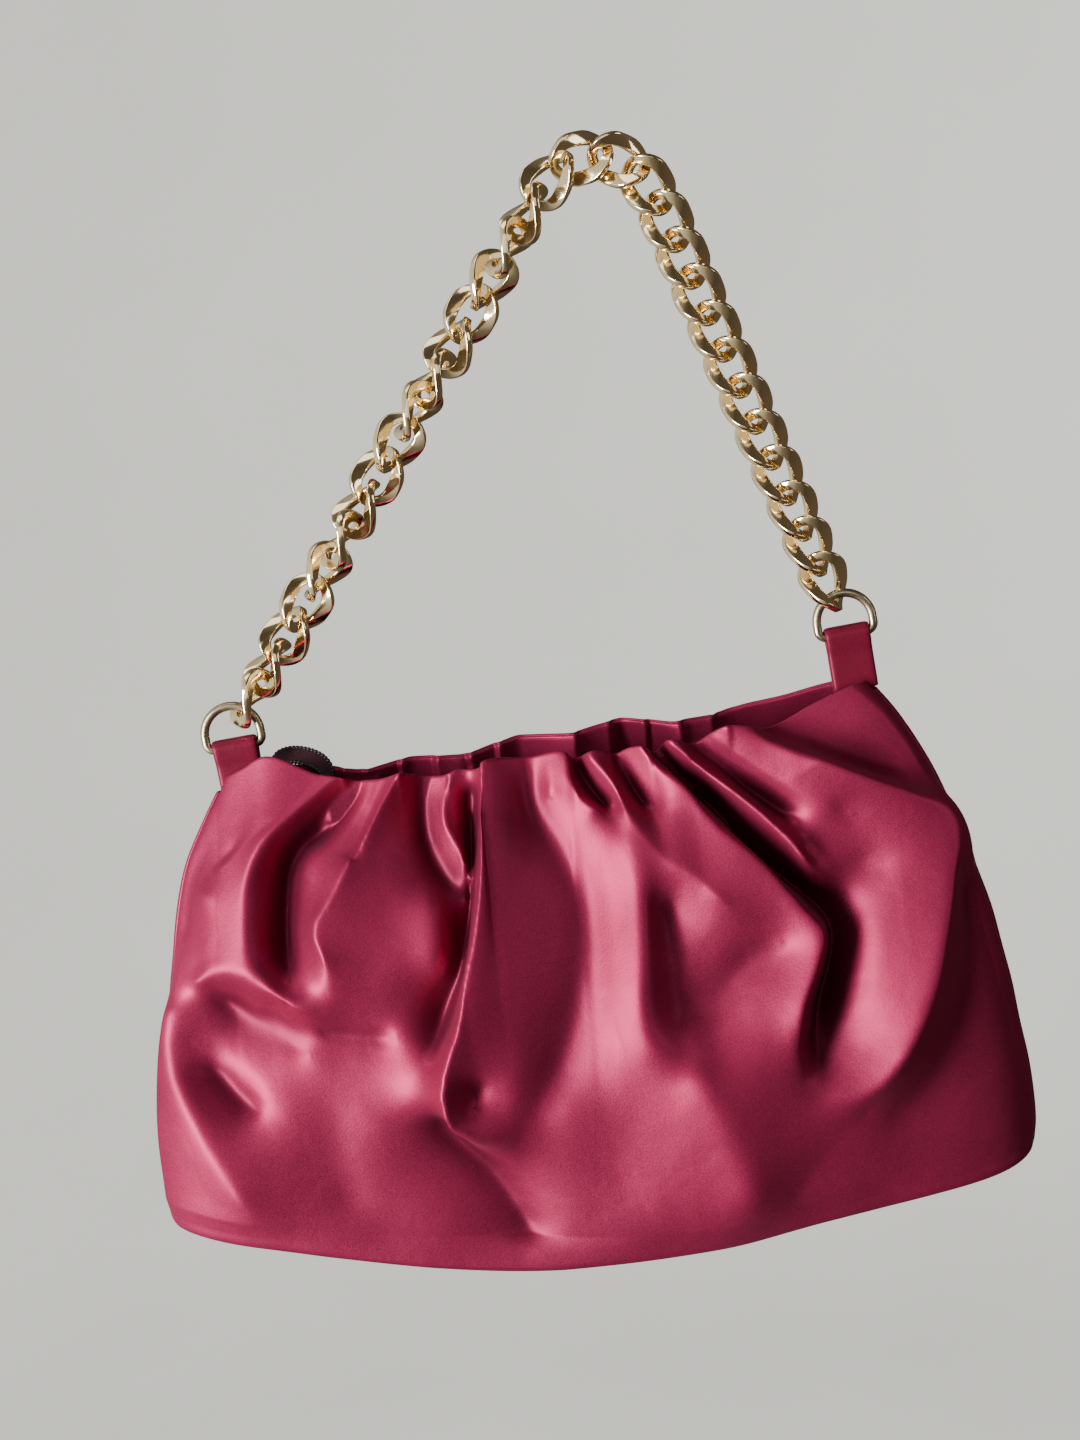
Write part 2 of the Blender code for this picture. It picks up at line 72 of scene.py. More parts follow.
# ------------------------------------------------------------------ materials
class Nodes:
    """Short way to wire a node material."""

    def __init__(self, name, colour, roughness, **settings):
        self.material = bpy.data.materials.new(name)
        self.material.use_nodes = True
        self.tree = self.material.node_tree
        self.shader = self.tree.nodes["Principled BSDF"]
        self.shader.inputs["Base Color"].default_value = (*colour, 1)
        self.shader.inputs["Roughness"].default_value = roughness
        for key, value in settings.items():
            self.shader.inputs[key.replace("_", " ")].default_value = value
        self.place = self.add("ShaderNodeTexCoord").outputs["Object"]

    def add(self, kind, **values):
        node = self.tree.nodes.new(kind)
        for key, value in values.items():
            if key in node.inputs:
                self.feed(value, node.inputs[key])
            else:
                setattr(node, key, value)
        return node

    def feed(self, value, socket):
        if isinstance(value, bpy.types.NodeSocket):
            self.tree.links.new(value, socket)
        else:
            socket.default_value = value

    def noise(self, scale, detail=3.0, roughness=0.5, distortion=0.0, where=None):
        node = self.add("ShaderNodeTexNoise", Scale=scale, Detail=detail, Roughness=roughness,
                        Distortion=distortion, Vector=where or self.place)
        return node.outputs["Fac"]

    def math(self, operation, a, b=0.0):
        node = self.add("ShaderNodeMath", operation=operation)
        self.feed(a, node.inputs[0])
        self.feed(b, node.inputs[1])
        return node.outputs[0]

    def span(self, value, low, high, new_low=0.0, new_high=1.0):
        node = self.add("ShaderNodeMapRange")
        for socket, number in zip(node.inputs, (value, low, high, new_low, new_high)):
            self.feed(number, socket)
        return node.outputs[0]

    def mix(self, share, a, b):
        node = self.add("ShaderNodeMix", data_type='RGBA')
        self.feed(share, node.inputs[0])
        self.feed(a, node.inputs[6])
        self.feed(b, node.inputs[7])
        return node.outputs[2]

    def stretch(self, x, y, z):
        node = self.add("ShaderNodeMapping", Vector=self.place)
        node.inputs["Scale"].default_value = (x, y, z)
        return node.outputs[0]

    def bump(self, height, strength, distance, under=None):
        node = self.add("ShaderNodeBump", Height=height, Strength=strength, Distance=distance)
        if under is not None:
            self.feed(under, node.inputs["Normal"])
        return node.outputs[0]

    def out(self, name, value):
        self.feed(value, self.shader.inputs[name])


def leather(name, colour, deep, roughness, metallic, grain):
    """Satin coated leather: fine grain, pearly speckle, faint rub marks; the point attribute
    read below, 0 on ridges to 1 at the bottom of a fold, darkens the colour there: painted shade in the
    creases."""
    n = Nodes(name, colour, roughness, Metallic=metallic, Sheen_Weight=0.05,
              Sheen_Roughness=0.4)
    n.shader.inputs["Sheen Tint"].default_value = (1.0, 0.42, 0.66, 1)
    n.shader.inputs["Specular IOR Level"].default_value = 0.25
    n.shader.inputs["Specular Tint"].default_value = (1.0, 0.40, 0.60, 1)
    blotch = n.span(n.noise(26.0, 4.0, 0.55), 0.3, 0.7)
    speckle = n.span(n.noise(3400.0, 2.0), 0.38, 0.62)
    tone = n.mix(blotch, (*colour, 1), (*deep, 1))
    tone = n.mix(n.math('MULTIPLY', speckle, 0.22), tone,
                 (min(colour[0] * 2.1, 1), colour[1] * 3.2, colour[2] * 2.6, 1))
    # painted shade: the colour is darkened towards the bottom of each fold by the attribute read here
    painted_crease_shade = n.add("ShaderNodeAttribute", attribute_name="painted_crease_shade").outputs["Fac"]
    n.out("Base Color", n.mix(n.math('MULTIPLY', painted_crease_shade, 0.55), tone,
                              (*(c * 0.12 for c in deep), 1)))
    rub = n.span(n.noise(90.0, 5.0, 0.62, 0.6, n.stretch(1.0, 1.0, 0.25)), 0.56, 0.74)
    scuff = n.math('MULTIPLY', rub, 0.07)
    n.out("Roughness", n.math('ADD', n.span(speckle, 0, 1, roughness - 0.03, roughness + 0.04),
                              scuff))
    pores = n.add("ShaderNodeTexVoronoi", Scale=1150.0, Vector=n.place).outputs["Distance"]
    fine = n.math('ADD', n.math('MULTIPLY', pores, 0.6), n.noise(2300.0, 3.0, 0.6))
    wave = n.noise(150.0, 3.0, 0.5, 0.3)
    slack = n.noise(42.0, 2.0, 0.5, 0.5)
    soft = n.bump(wave, 0.12, 0.0006, n.bump(slack, 0.28, 0.0016))
    n.out("Normal", n.bump(fine, grain, 0.00012, soft))
    return n.material


def gold(name, colour, roughness, wear):
    """Polished plating with faint handling marks."""
    n = Nodes(name, colour, roughness, Metallic=1.0)
    smear = n.span(n.noise(140.0, 4.0, 0.6), 0.35, 0.75)
    lines = n.span(n.noise(900.0, 3.0, 0.6, 0.4, n.stretch(1.0, 1.0, 0.12)), 0.55, 0.8)
    n.out("Roughness", n.math('ADD', n.span(smear, 0, 1, roughness * 0.8, roughness * 1.35),
                              n.math('MULTIPLY', lines, wear)))
    warm = (colour[0] * 0.96, colour[1] * 0.86, colour[2] * 0.68, 1)
    n.out("Base Color", n.mix(n.math('MULTIPLY', smear, 0.45), (*colour, 1), warm))
    n.out("Normal", n.bump(n.noise(420.0, 3.0), 0.05, 0.0003))
    return n.material


def aged_brass():
    n = Nodes("aged_brass", (0.46, 0.38, 0.23), 0.3, Metallic=1.0)
    stain = n.span(n.noise(320.0, 5.0, 0.65), 0.42, 0.66)
    n.out("Base Color", n.mix(stain, (0.50, 0.42, 0.27, 1), (0.22, 0.17, 0.10, 1)))
    n.out("Roughness", n.span(stain, 0, 1, 0.24, 0.48))
    n.out("Normal", n.bump(n.noise(1500.0, 3.0), 0.10, 0.0001))
    return n.material


def woven(name, colour, pitch, depth):
    """Plain weave: two crossed waves, one thread over and one under; the low parts are painted darker as
    shade between the threads.
    """
    n = Nodes(name, colour, 0.85, Sheen_Weight=0.08, Sheen_Roughness=0.5)
    turns = math.tau / pitch
    parts = n.add("ShaderNodeSeparateXYZ", Vector=n.place)
    across = n.math('SINE', n.math('MULTIPLY', parts.outputs[0], turns))
    height = n.math('ADD', parts.outputs[2], parts.outputs[1])
    along = n.math('SINE', n.math('MULTIPLY', height, turns))
    weave = n.math('MULTIPLY', across, along)
    n.out("Normal", n.bump(weave, 0.5, depth))
    # painted shade: the colour darkens where the weave is low, where a thread goes under the other
    shade = n.span(weave, -1, 1)
    thread_shade_colour = tuple(c * 0.55 for c in colour)
    n.out("Base Color", n.mix(shade, (*thread_shade_colour, 1), (*colour, 1)))
    return n.material


def nylon(name, colour):
    n = Nodes(name, colour, 0.38)
    n.out("Roughness", n.span(n.noise(700.0, 3.0), 0.3, 0.7, 0.3, 0.5))
    n.out("Normal", n.bump(n.noise(2500.0, 2.0), 0.08, 0.0001))
    return n.material


def plain_stage(name, colour):
    n = Nodes(name, colour, 0.9)
    tone = n.mix(n.span(n.noise(3.0, 2.0), 0.3, 0.7), (*colour, 1),
                 (*(c * 0.97 for c in colour), 1))
    n.out("Base Color", tone)
    n.out("Emission Color", tone)
    n.shader.inputs["Emission Strength"].default_value = 0.55
    return n.material


BURGUNDY = leather("burgundy_leather", (0.215, 0.013, 0.045), (0.15, 0.0095, 0.032),
                   0.46, 0.62, 0.20)
DARK_BURGUNDY = leather("dark_burgundy_leather", (0.12, 0.006, 0.020), (0.09, 0.005, 0.015),
                        0.42, 0.30, 0.12)
GOLD = gold("champagne_gold", (1.0, 0.80, 0.48), 0.10, 0.05)
BRASS = aged_brass()
ZIP_METAL = gold("zip_metal", (0.72, 0.58, 0.36), 0.24, 0.10)
TAPE_CLOTH = woven("zip_tape_cloth", (0.050, 0.006, 0.016), 0.0007, 0.0001)
COIL = nylon("zip_teeth_nylon", (0.022, 0.014, 0.018))
LINING = woven("lining_cloth", (0.06, 0.012, 0.022), 0.0009, 0.0001)
BOARD = nylon("base_board_plastic", (0.20, 0.17, 0.14))


# -------------------------------------------------------------------- helpers
def spline(points, t):
    """Smooth curve through rows of (t, value, ...), read at every t."""
    rows = np.array(points, float)
    x, y = rows[:, 0], rows[:, 1:]
    slope = np.diff(y, axis=0) / np.diff(x)[:, None]
    m = np.vstack([slope[:1], (slope[:-1] + slope[1:]) / 2, slope[-1:]])
    t = np.clip(np.asarray(t, float), x[0], x[-1])
    i = np.clip(np.searchsorted(x, t, side="right") - 1, 0, len(x) - 2)
    h = (x[i + 1] - x[i])[..., None]
    s = ((t - x[i])[..., None]) / h
    value = ((2 * s**3 - 3 * s**2 + 1) * y[i] + (s**3 - 2 * s**2 + s) * h * m[i]
             + (3 * s**2 - 2 * s**3) * y[i + 1] + (s**3 - s**2) * h * m[i + 1])
    return value[..., 0] if value.shape[-1] == 1 else value


def add_mesh(name, points, faces, finish, body):
    """Piece from points in millimetres, riding on a CAD body."""
    mesh = bpy.data.meshes.new(name)
    mesh.from_pydata((np.asarray(points, float) * MM).tolist(), [], faces)
    mesh.materials.append(finish)
    mesh.shade_smooth()
    piece = bpy.data.objects.new(name, mesh)
    bpy.context.scene.collection.objects.link(piece)
    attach(piece, body)
    return piece


def grid_faces(rows, cols, wrap=False):
    faces = []
    for i in range(rows - 1):
        for j in range(cols if wrap else cols - 1):
            k = (j + 1) % cols
            faces.append((i * cols + j, i * cols + k, (i + 1) * cols + k, (i + 1) * cols + j))
    return faces


def tube_faces(rings, sides):
    """Faces of a closed tube, whose last ring of points joins its first."""
    last = (rings - 1) * sides
    closing = [(last + k, last + (k + 1) % sides, (k + 1) % sides, k) for k in range(sides)]
    return grid_faces(rings, sides, wrap=True) + closing


def outward(piece):
    shape = bmesh.new()
    shape.from_mesh(piece.data)
    bmesh.ops.recalc_face_normals(shape, faces=shape.faces)
    shape.to_mesh(piece.data)
    shape.free()
    return piece


# ----------------------------------------------------------------- body shape
# Level rows: share t from the bottom seam to the top edge, height, left and
# right ends, half depth in front and behind, and how square the section is.
LEVELS = [
    (0.00, -329.0, -155.5, 114.5, 31.5, 30.0, 3.8),
    (0.03, -327.5, -158.2, 120.5, 35.0, 33.0, 3.5),
    (0.07, -323.0, -159.2, 122.6, 37.0, 35.0, 3.1),
    (0.13, -314.0, -159.6, 123.4, 39.0, 37.0, 2.8),
    (0.25, -295.0, -159.2, 121.8, 40.0, 38.0, 2.6),
    (0.40, -270.5, -156.0, 117.8, 39.5, 37.0, 2.5),
    (0.55, -246.0, -151.8, 112.6, 36.0, 34.0, 2.4),
    (0.70, -222.5, -148.6, 104.8, 29.5, 28.5, 2.3),
    (0.82, -203.5, -143.8, 97.0, 23.0, 22.5, 2.2),
    (0.92, -187.5, -136.0, 87.5, 16.5, 16.5, 2.2),
    (1.00, -176.0, -129.0, 78.5, 12.5, 12.5, 2.2)]
FRONT_EDGE = [(-131, -178), (-122, -174), (-114, -170.5), (-97, -177.5), (-81, -180.0),
              (-73, -179.5), (-67, -179.1), (-57, -180.0), (-53.5, -178.8), (-46, -179.2),
              (-43, -177.4), (-30, -176.6), (-20, -176.4), (-17, -178.0), (-10, -176.9),
              (-4, -177.6), (0.5, -176.6), (7.5, -177.2), (13, -175.6), (20, -176.6),
              (31, -173.4), (44, -174.2), (60, -168), (72, -164), (81, -162)]
BACK_EDGE = [(-131, -178), (-120, -175), (-97, -178), (-74, -178), (-50, -176), (-30, -173.5),
             (-5, -171.5), (20, -171.0), (33, -171.2), (42, -169.4), (52, -167.5), (64, -164.4),
             (81, -161)]
BASE_LINE = [(-160, -317), (-139, -321), (-122, -324), (-105, -327.5), (-71, -333.8),
             (-36, -337.4), (-19, -337.1), (16, -334.2), (51, -328.4), (86, -323.9), (110, -321),
             (125, -318)]
NOMINAL_BASE, NOMINAL_TOP = -329.0, -176.0
CORNER = 7.0               # angle of the side seams on a level's section, in degrees
LEATHER_THICK = 1.3


def section(t, side, start, stop, count):
    """Points along a level's section; start and stop are angles in degrees from the
    right end (0) over the front (side -1) or the back (side 1) to the left end (180)."""
    z, left, right, front, back, power = spline(LEVELS, t)
    middle, half = (left + right) / 2, (right - left) / 2
    depth = front if side < 0 else back
    angle = np.radians(np.linspace(0, 180, 721))
    cosine, sine = np.cos(angle), np.clip(np.sin(angle), 0, 1)
    x = middle + half * np.sign(cosine) * np.abs(cosine)**(2 / power)
    y = side * depth * sine**(2 / power)
    run = np.concatenate([[0], np.cumsum(np.hypot(np.diff(x), np.diff(y)))])
    low, high = np.interp([start, stop], np.degrees(angle), run)
    at = np.linspace(low, high, count)
    x, y = np.interp(at, run, x), np.interp(at, run, y)
    top = spline(FRONT_EDGE if side < 0 else BACK_EDGE, x)
    base = spline(BASE_LINE, x)
    share = (z - NOMINAL_BASE) / (NOMINAL_TOP - NOMINAL_BASE)
    return np.stack([x, y, base + share * (top - base)], 1)


def wall_grid(side, rows, cols):
    """Front or back wall between its side seams, rows from the bottom seam up."""
    return np.array([section(t, side, CORNER, 180 - CORNER, cols)
                     for t in np.linspace(0, 1, rows)])


def end_grid(end, rows, cols):
    """End wall from the front seam round to the back seam."""
    grid = []
    for t in np.linspace(0, 1, rows):
        middle, seam = (0, CORNER) if end == "right" else (180, 180 - CORNER)
        front = section(t, -1, seam, middle, cols)
        back = section(t, 1, middle, seam, cols)
        edge = np.linspace(0, 1, cols)[:, None]
        front[:, 2] = (front[:, 2] * (1 - edge[:, 0] / 2) + back[::-1, 2] * edge[:, 0] / 2)
        back[:, 2] = (back[:, 2] * (1 + edge[:, 0]) / 2 + front[::-1, 2] * (1 - edge[:, 0]) / 2)
        grid.append(np.vstack([front, back[1:]]))
    return np.array(grid)


def grid_normals(grid, outside):
    """Unit normals, turned so that they point the way of the outside vector."""
    n = np.cross(np.gradient(grid, axis=1), np.gradient(grid, axis=0))
    n /= np.linalg.norm(n, axis=2, keepdims=True) + 1e-9
    centre = n[grid.shape[0] // 2, grid.shape[1] // 2]
    return n if centre @ np.asarray(outside, float) > 0 else -n


# ---------------------------------------------------------------------- folds
# Each fold is (height, softness, [(x, z), ...]): how far its line stands out of
# the wall or sinks into it, how rounded it is, and where it runs.  The leather
# between the lines is stretched over them like a skin.
FRONT_FOLDS = [
    # left end
    (-1.5, 2.2, [(-141, -202), (-144, -213), (-145, -227)]),
    (2.2, 2.0, [(-136, -211), (-132, -217), (-134, -226), (-139, -235)]),
    (1.7, 0.8, [(-96, -177), (-107, -187), (-116, -193), (-127, -202), (-135, -209)]),
    (0.2, 1.0, [(-125, -198), (-132, -203), (-137, -208)]),
    # curved channel and the lip on its left
    (3.2, 1.6, [(-89, -177), (-104, -188), (-114, -197), (-119, -208), (-120, -223),
                (-119, -233), (-113, -242), (-106, -247), (-101, -247)]),
    (-7.5, 2.2, [(-87, -182), (-100, -193), (-110, -203), (-113, -215), (-114, -228),
                 (-111, -238)]),
    (-0.5, 1.8, [(-79, -178), (-88, -191), (-95, -197), (-101, -200), (-104, -209)]),
    (-0.4, 2.2, [(-76, -180), (-83, -195), (-88, -203)]),
    # long gather of the left third, and the slack leather right of it
    (4.4, 0.8, [(-71, -178), (-77, -187), (-87, -202), (-95, -215), (-101, -223), (-98, -233),
                (-99, -243)]),
    (0.6, 3.0, [(-75, -204), (-75, -224), (-81, -242)]),
    (0.8, 3.0, [(-64, -216), (-61, -230), (-64, -238)]),
    (-5.5, 1.8, [(-65, -180), (-65, -195), (-61, -207), (-55, -217)]),
    (-0.8, 0.8, [(-55, -178), (-59, -193), (-55, -202), (-52, -211)]),
    # the strongest gather, undercut on its left
    (-8.0, 1.6, [(-49, -185), (-50, -202), (-54, -223), (-58, -239), (-64, -253), (-69, -265)]),
    (5.8, 0.7, [(-44, -177), (-47, -197), (-50, -217), (-54, -236), (-59, -254), (-64, -267),
                (-65, -276), (-63, -285), (-56, -290), (-48, -290)]),
    (-1.6, 2.0, [(-55, -272), (-56, -280)]),
    (0.5, 3.0, [(-37, -186), (-37, -212), (-39, -242), (-41, -266), (-43, -283)]),
    (-4.0, 3.0, [(-31, -180), (-31, -191), (-24, -204), (-18, -220), (-19, -237), (-25, -258),
                 (-32, -274), (-41, -287)]),
    (1.0, 1.5, [(-25, -179), (-25, -190)]),
    # hooked pleat and its neighbours at the rim
    (2.6, 0.7, [(-19, -178), (-19, -185), (-14, -192), (-8, -196)]),
    (-4.2, 1.0, [(-16, -180), (-12, -188), (-6, -193)]),
    (3.2, 0.9, [(-12, -178), (-6, -186), (-2, -195), (4, -206), (19, -218), (32, -231)]),
    (-3.8, 1.0, [(-4, -178), (1, -188), (6, -194)]),
    # bowl in the middle
    (3.2, 2.6, [(-3, -206), (1, -218), (0, -236), (-2, -252), (-1, -263), (5, -268), (13, -268)]),
    (-3.6, 3.4, [(7, -222), (8, -240), (10, -258), (18, -256), (30, -244), (42, -237)]),
    # deep fold that runs down to the right, between its two lips
    (4.0, 1.0, [(4, -177), (12, -185), (25, -200), (39, -215), (50, -229), (55, -236),
                (52, -245), (46, -258), (44, -270), (46, -280)]),
    (-9.0, 1.0, [(8, -177), (16, -185), (30, -200), (43, -215), (54, -225), (60, -233),
                 (60, -241), (55, -256), (52, -269), (52, -278)]),
    (3.0, 0.9, [(13, -176), (22, -184), (35, -196), (48, -209), (56, -220)]),
    (-3.6, 1.4, [(20, -176), (33, -187), (44, -196), (51, -203)]),
    # corner fold towards the right shoulder
    (2.4, 1.2, [(27, -175), (42, -187), (57, -197), (68, -202)]),
    (-2.4, 3.0, [(53, -210), (64, -217), (75, -216)]),
    (6.4, 1.4, [(30, -172), (51, -182), (69, -191), (86, -200), (94, -205), (96, -212),
                (94, -225), (90, -239), (85, -255), (77, -271), (69, -282), (61, -287),
                (53, -286)]),
    (-0.5, 3.0, [(71, -234), (67, -254), (64, -272)]),
    (-2.0, 3.0, [(44, -174), (63, -183), (85, -192)]),
    (2.0, 3.0, [(75, -165), (89, -179), (97, -195)]),
    # sagging pocket low on the left
    (3.4, 1.8, [(-139, -238), (-131, -234), (-120, -237), (-111, -245)]),
    (-4.6, 2.6, [(-135, -243), (-127, -249), (-116, -256), (-106, -262)]),
    (-3.6, 3.2, [(-118, -246), (-108, -254), (-98, -259), (-84, -261), (-74, -261)]),
    (-4.4, 2.0, [(-103, -254), (-88, -257), (-78, -257)]),
    (-1.6, 3.2, [(-142, -257), (-134, -262), (-128, -268), (-122, -273)]),
    (-4.4, 2.4, [(-141, -265), (-134, -273), (-124, -280)]),
    (4.4, 2.0, [(-146, -247), (-147, -260), (-143, -274), (-137, -289), (-130, -303),
                (-126, -315)]),
    # broad facets above the base
    (-3.4, 4.0, [(-101, -280), (-100, -299), (-99, -316)]),
    (-7.5, 2.2, [(-67, -283), (-57, -298), (-48, -314), (-40, -333)]),
    (-0.6, 4.0, [(-30, -282), (-16, -299), (-8, -317)]),
    (5.5, 3.0, [(12, -274), (19, -286), (25, -303), (26, -322)]),
    (0.6, 2.0, [(40, -317), (53, -301), (66, -291)]),
    (-1.5, 5.0, [(74, -296), (92, -276), (103, -250), (101, -226)])]
BACK_FOLDS = [
    (2.2, 1.4, [(-96, -178), (-104, -196), (-112, -222)]),
    (-3.0, 2.0, [(-86, -178), (-90, -200), (-96, -232)]),
    (3.0, 1.4, [(-70, -177), (-72, -204), (-80, -238)]),
    (-3.2, 2.0, [(-52, -175), (-56, -206), (-58, -236)]),
    (3.0, 1.4, [(-34, -173), (-36, -206), (-34, -246), (-40, -276)]),
    (-3.4, 2.4, [(-16, -171), (-15, -204), (-10, -240)]),
    (3.4, 1.4, [(0, -171), (6, -200), (22, -236), (34, -262)]),
    (-4.0, 2.0, [(16, -170), (28, -198), (46, -228)]),
    (3.2, 1.6, [(34, -170), (52, -190), (74, -214), (84, -246)]),
    (-3.0, 3.0, [(-120, -246), (-92, -268), (-60, -274)]),
    (2.4, 3.0, [(-138, -262), (-126, -290), (-112, -318)]),
    (-2.6, 3.0, [(60, -270), (48, -296), (40, -322)]),
    (2.0, 3.0, [(0, -286), (-6, -306), (-10, -328)])]
# Pleats sewn in at the rim lean over their neighbours, away from the middle: the
# first row of places over the one on the left, the second over the one on the right.
# Then come how far they stand out, how far down they reach and how much they lift the rim.
FRONT_PLEATS = ((-90, -72, -57, -45), (-19, -4.5, 7, 19, 32), 1.0, 6.0, 0.0)
BACK_PLEATS = ((-92, -84, -73, -61.5, -50.5, -41), (-15, -3.5, 8, 19.5, 30), 3.4, 24.0, 0.36)
FOLD_SCALE = 1.65          # all folds are made this much higher than listed
FADE = 26.0                # distance over which a fold dies out into the wall
SOFT_STEPS = (0.7, 1.6, 3.2)
SOFT_HOLD = 400.0          # distance over which a line's softness spreads
END_HEIGHT, END_SOFT = 0.35, 3.0    # share of its height and softness at a line's far end
COARSEST, SKIN_STEPS = 24, 90       # smallest grid side and rounds of easing of the skin
SIDE_CALM, BASE_CALM = 0.03, 0.10   # shares of a wall over which folds fade at its seams
RIM_SHARE, RIM_REST, RIM_BAND = 0.57, 0.43, 0.12    # height at the rim, gained back below it
WALL_WAVES, END_WAVES = (46.0, 0.30), (38.0, 0.35)  # pitch and height of the unevenness
SEAM_PINCH = (0.8, 3)      # depth, and reach in grid cells
# spread and onset of the shade painted into the leather's colour at the bottom of the folds
CREASE_SHADE_BLUR, CREASE_SHADE_FROM, CREASE_SHADE_SPAN = 14.0, 0.8, 3.2
RIM_LIFT_REACH = 5.0
SLIDER_ROOM = ((-99, -196), (62, -178))    # corners of the slider's run, as (x, z)
SLIDER_SIDE = 8.7          # least distance of the outer leather from the zip's middle
PLEAT_FLAT = 5.0           # distance over which a pleat sinks back from its proud edge


def stretch_skin(fixed, value, spacing, hold):
    """Skin over fixed cells: every other cell rests at the mean of its neighbours."""
    rows, cols = fixed.shape
    if min(rows, cols) > COARSEST:
        even = ((rows + 1) // 2 * 2 - rows, (cols + 1) // 2 * 2 - cols)
        weight = np.pad(fixed.astype(float), ((0, even[0]), (0, even[1])))
        total = np.pad(value * fixed, ((0, even[0]), (0, even[1])))
        weight = weight.reshape(weight.shape[0] // 2, 2, -1, 2).sum((1, 3))
        total = total.reshape(total.shape[0] // 2, 2, -1, 2).sum((1, 3))
        coarse = stretch_skin(weight > 0, total / np.maximum(weight, 1), spacing * 2, hold)
        skin = coarse.repeat(2, 0).repeat(2, 1)[:rows, :cols]
    else:
        skin = np.zeros((rows, cols))
    pull = 4 + (spacing / hold)**2
    for _ in range(SKIN_STEPS):
        skin = np.where(fixed, value, skin)
        edge = np.pad(skin, 1, mode="edge")
        near = edge[:-2, 1:-1] + edge[2:, 1:-1] + edge[1:-1, :-2] + edge[1:-1, 2:]
        skin = near / pull
    return np.where(fixed, value, skin)


def blur(field, sigma):
    """Gaussian blur by a number of grid cells, with the border repeated."""
    reach = max(int(sigma * 3), 1)
    kernel = np.exp(-0.5 * (np.arange(-reach, reach + 1) / max(sigma, 1e-3))**2)
    kernel /= kernel.sum()
    for axis in (0, 1):
        pad = [(0, 0), (0, 0)]
        pad[axis] = (reach, reach)
        wide = np.pad(field, pad, mode="edge")
        field = sum(k * np.take(wide, range(i, i + field.shape[axis]), axis)
                    for i, k in enumerate(kernel))
    return field


def fold_field(grid, folds):
    """Height of the folded wall over its smooth shape, in millimetres."""
    rows, cols = grid.shape[:2]
    flat = grid[..., [0, 2]].reshape(-1, 2)
    tree = KDTree(len(flat))
    for i, (x, z) in enumerate(flat):
        tree.insert((x, 0, z), i)
    tree.balance()
    spacing = abs(grid[0, -1, 0] - grid[0, 0, 0]) / cols
    total, count, softness = (np.zeros(rows * cols) for _ in range(3))
    for height, soft, points in folds:
        line = np.array(points, float)
        steps = np.concatenate([[0], np.cumsum(np.hypot(*np.diff(line, axis=0).T))])
        line = spline(np.column_stack([steps, line]), np.arange(0, steps[-1], spacing / 2))
        for share, (x, z) in zip(np.linspace(0, 1, len(line)), line):
            cell = tree.find((x, 0, z))[1]
            fade = min(1.0, END_HEIGHT + (1 - share) * 4)
            total[cell] += height * fade
            softness[cell] += max(soft, END_SOFT - (1 - share) * 16)
            count[cell] += 1
    fixed = (count > 0).reshape(rows, cols)
    count = np.maximum(count, 1)
    value = (total / count).reshape(rows, cols)
    soft = (softness / count).reshape(rows, cols)
    skin = stretch_skin(fixed, value, spacing, FADE)
    round_off = stretch_skin(fixed, soft, spacing, SOFT_HOLD)
    near, middle, far = (blur(skin, s / spacing) for s in SOFT_STEPS)
    low = np.clip((round_off - SOFT_STEPS[0]) / (SOFT_STEPS[1] - SOFT_STEPS[0]), 0, 1)
    high = np.clip((round_off - SOFT_STEPS[1]) / (SOFT_STEPS[2] - SOFT_STEPS[1]), 0, 1)
    return near + (middle - near) * low + (far - middle) * high


def wrinkles(grid, seed, size, height):
    """Smooth random unevenness made of a few dozen waves."""
    random = np.random.default_rng(seed)
    total = np.zeros(grid.shape[:2])
    for _ in range(24):
        direction = random.normal(size=3)
        direction /= np.linalg.norm(direction)
        pitch = size * random.uniform(0.6, 1.7)
        total += np.sin(grid @ direction * math.tau / pitch + random.uniform(0, math.tau))
    return total / math.sqrt(24) * height


EDGE_STEPS = 5


def closed_sheet(name, outer, inner, finish):
    """One closed skin on the bag between two matching grids of points: a rounded edge
    joins their first rows and their last rows, and flat caps close the sides."""
    rows, cols = outer.shape[:2]
    between = EDGE_STEPS - 2
    middle, half = (outer + inner) / 2, (outer - inner) / 2
    reach = np.linalg.norm(half, axis=2, keepdims=True)
    along = np.gradient(middle, axis=0)
    along /= np.linalg.norm(along, axis=2, keepdims=True) + 1e-9
    loop = [(middle + half * math.cos(a), along * reach * math.sin(a))
            for a in np.linspace(0, math.pi, EDGE_STEPS)]
    top = [m[-1] + push[-1] for m, push in loop[1:-1]]
    bottom = [m[0] - push[0] for m, push in loop[1:-1]][::-1]
    ring = np.concatenate([outer, top, inner[::-1], bottom])
    count = len(ring)
    faces = grid_faces(count, cols)
    last = (count - 1) * cols
    faces += [(last + j, last + j + 1, j + 1, j) for j in range(cols - 1)]
    caps = []
    pairs = [(i, rows + between + rows - 1 - i) for i in range(rows)]
    for j in (0, cols - 1):
        strip = [(a * cols + j, b * cols + j) for a, b in pairs]
        caps += [(a, b, d, c) for (a, b), (c, d) in zip(strip[:-1], strip[1:])]
        upper = [rows - 1 + k for k in range(EDGE_STEPS)]
        lower = [count - between + k for k in range(between)]
        caps.append(tuple(k * cols + j for k in upper))
        caps.append(tuple(k * cols + j for k in [2 * rows + between - 1, *lower, 0]))
    piece = add_mesh(name, ring.reshape(-1, 3), faces + caps, finish, "bag")
    return outward(piece)


def seam_pinch(rows, cols, depth, reach):
    """How far the sewn edges pull in: the bottom edge and both sides."""
    t = np.arange(rows)[:, None] / reach
    c = np.minimum(np.arange(cols), np.arange(cols)[::-1])[None, :] / reach
    return -depth * np.maximum(np.exp(-t * 2.2), np.exp(-c * 2.2) * np.ones_like(t))


